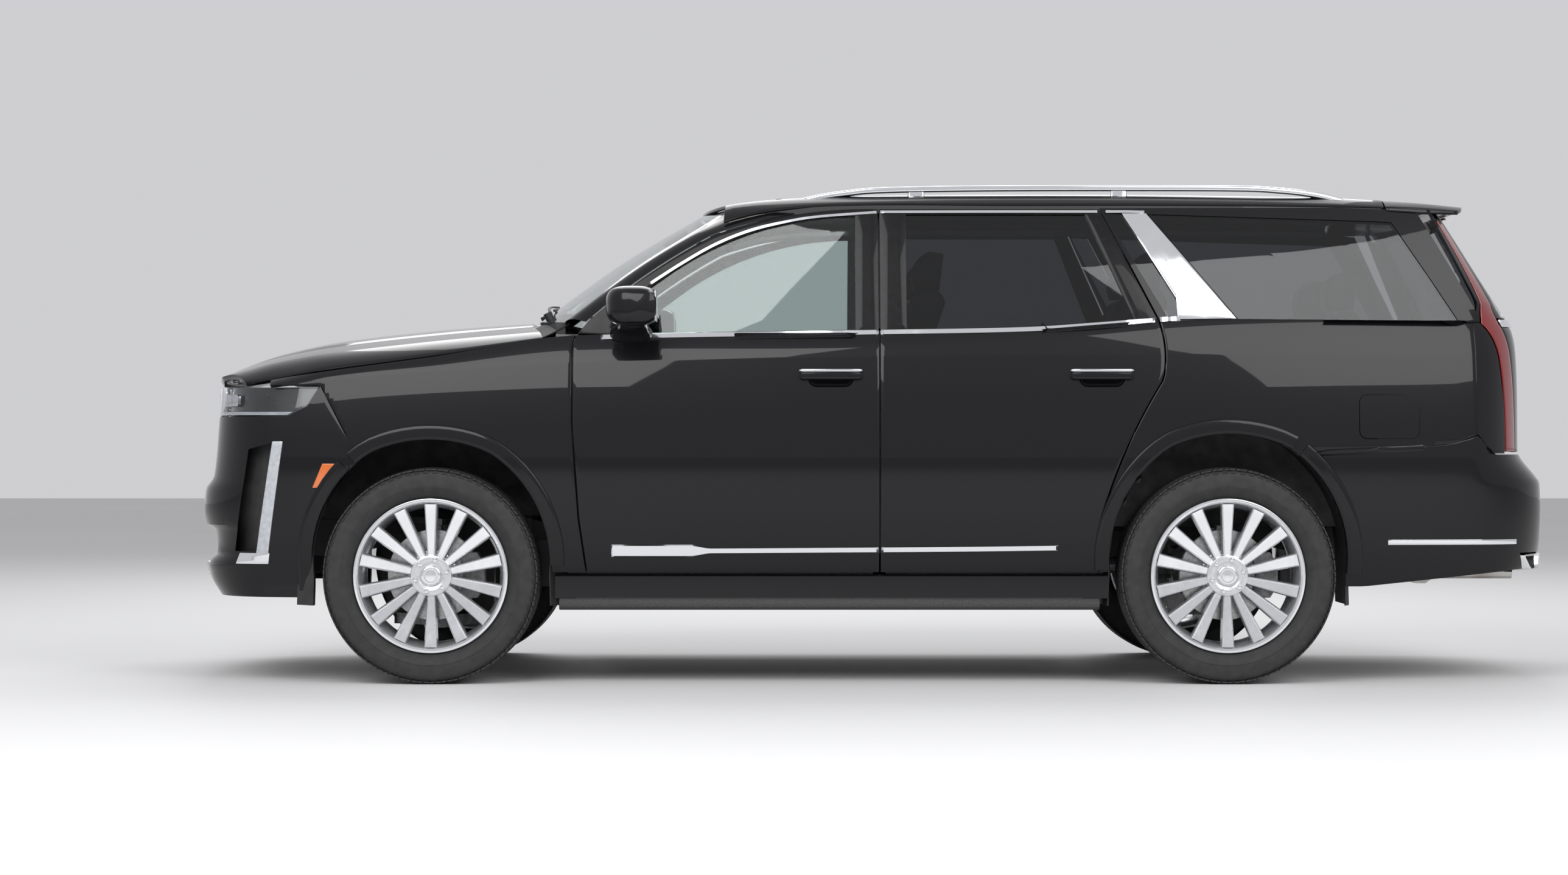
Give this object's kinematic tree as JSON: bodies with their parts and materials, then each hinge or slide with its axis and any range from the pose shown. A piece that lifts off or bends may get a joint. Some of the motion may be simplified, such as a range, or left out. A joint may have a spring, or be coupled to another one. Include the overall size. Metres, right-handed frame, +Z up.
{
  "type": "sport utility vehicle",
  "caption": "Full-size three-row sport utility vehicle with hinged side doors, hood and tailgate, steerable front wheels, tall mesh grille, roof rails and a hollow furnished cabin.",
  "frame": {"origin": "on the ground under the middle of the car's overall length, on its centre plane", "axes": "+X to the rear of the car, +Y to its right-hand side, +Z up"},
  "size_m": [5.3796, 2.45, 1.942],
  "materials": {
    "paint": "gloss clear-coated black",
    "chrome": "polished",
    "glass": "clear laminated",
    "door_glass": "lightly tinted",
    "dark_glass": "deep tinted",
    "frame_black": "satin black",
    "underbody": "matte primer black",
    "castings": "as cast",
    "exhaust_steel": "satin",
    "tank_plastic": "moulded",
    "step_black": "fine texture",
    "grille_black": "gloss black with bright edges",
    "lamp_clear": "clear lens over bright reflectors",
    "lamp_red": "red lens",
    "cabin_black": "soft grained",
    "seat_leather": "black, grained",
    "tyre": "matte rubber",
    "wheel_silver": "painted silver with machined faces"
  },
  "bodies": {
    "body": {"chassis_frame": "frame_black", "floor_pan": "underbody", "engine_block": "castings", "exhaust": "exhaust_steel", "fuel_tank": "tank_plastic", "front_suspension": "castings", "rear_suspension": "castings", "running_boards": "step_black", "body_sides": "paint", "fenders": "paint", "roof_panel": "paint", "roof_rails": "chrome", "roof_antenna": "paint", "windscreen": "glass", "quarter_glass": "dark_glass", "pillar_trims": "chrome", "front_bumper": "paint", "grille": "grille_black", "grille_surround": "chrome", "front_lamps": "lamp_clear", "rear_bumper": "paint", "tail_lamps": "lamp_red", "dashboard": "cabin_black", "front_seats": "seat_leather", "rear_seats": "seat_leather"},
    "hood": {"hood": "paint"},
    "tailgate": {"tailgate": "paint", "tailgate_glass": "dark_glass"},
    "front_door_left": {"front_door_left": "paint", "front_door_glass_left": "door_glass", "mirror_left": "paint"},
    "rear_door_left": {"rear_door_left": "paint", "rear_door_glass_left": "dark_glass"},
    "knuckle_left": {"knuckle_left": "castings"},
    "wheel_front_left": {"tyre_front_left": "tyre", "wheel_front_left": "wheel_silver"},
    "wheel_rear_left": {"tyre_rear_left": "tyre", "wheel_rear_left": "wheel_silver"},
    "front_door_right": {"front_door_right": "paint", "front_door_glass_right": "door_glass", "mirror_right": "paint"},
    "rear_door_right": {"rear_door_right": "paint", "rear_door_glass_right": "dark_glass"},
    "knuckle_right": {"knuckle_right": "castings"},
    "wheel_front_right": {"tyre_front_right": "tyre", "wheel_front_right": "wheel_silver"},
    "wheel_rear_right": {"tyre_rear_right": "tyre", "wheel_rear_right": "wheel_silver"}
  },
  "joints": [
    {"name": "front_door_left_hinge", "type": "hinge", "parent": "body", "child": "front_door_left", "pos_m": [-1.152, -1.0315, 0.9], "axis": [0, 0, -1], "range_deg": [0, 70]},
    {"name": "rear_door_left_hinge", "type": "hinge", "parent": "body", "child": "rear_door_left", "pos_m": [0.032, -1.0315, 0.9], "axis": [0, 0, -1], "range_deg": [0, 75]},
    {"name": "steer_left", "type": "hinge", "parent": "body", "child": "knuckle_left", "pos_m": [-1.701, -0.8, 0.417], "axis": [0, 0, 1], "range_deg": [-32, 32]},
    {"name": "wheel_front_left_spin", "type": "hinge", "parent": "knuckle_left", "child": "wheel_front_left", "pos_m": [-1.701, -0.87, 0.417], "axis": [0, 1, 0], "continuous": true},
    {"name": "wheel_rear_left_spin", "type": "hinge", "parent": "body", "child": "wheel_rear_left", "pos_m": [1.37, -0.87, 0.417], "axis": [0, 1, 0], "continuous": true},
    {"name": "front_door_right_hinge", "type": "hinge", "parent": "body", "child": "front_door_right", "pos_m": [-1.152, 1.0315, 0.9], "axis": [0, 0, 1], "range_deg": [0, 70]},
    {"name": "rear_door_right_hinge", "type": "hinge", "parent": "body", "child": "rear_door_right", "pos_m": [0.032, 1.0315, 0.9], "axis": [0, 0, 1], "range_deg": [0, 75]},
    {"name": "steer_right", "type": "hinge", "parent": "body", "child": "knuckle_right", "pos_m": [-1.701, 0.8, 0.417], "axis": [0, 0, 1], "range_deg": [-32, 32]},
    {"name": "wheel_front_right_spin", "type": "hinge", "parent": "knuckle_right", "child": "wheel_front_right", "pos_m": [-1.701, 0.87, 0.417], "axis": [0, 1, 0], "continuous": true},
    {"name": "wheel_rear_right_spin", "type": "hinge", "parent": "body", "child": "wheel_rear_right", "pos_m": [1.37, 0.87, 0.417], "axis": [0, 1, 0], "continuous": true},
    {"name": "hood_hinge", "type": "hinge", "parent": "body", "child": "hood", "pos_m": [-1.24, 0, 1.385], "axis": [0, 1, 0], "range_deg": [0, 48]},
    {"name": "tailgate_hinge", "type": "hinge", "parent": "body", "child": "tailgate", "pos_m": [2.016, 0, 1.894], "axis": [0, -1, 0], "range_deg": [0, 80]}
  ],
  "couplings": [
    {"joint": "steer_left", "follows": "steer_right", "ratio": 1}
  ]
}
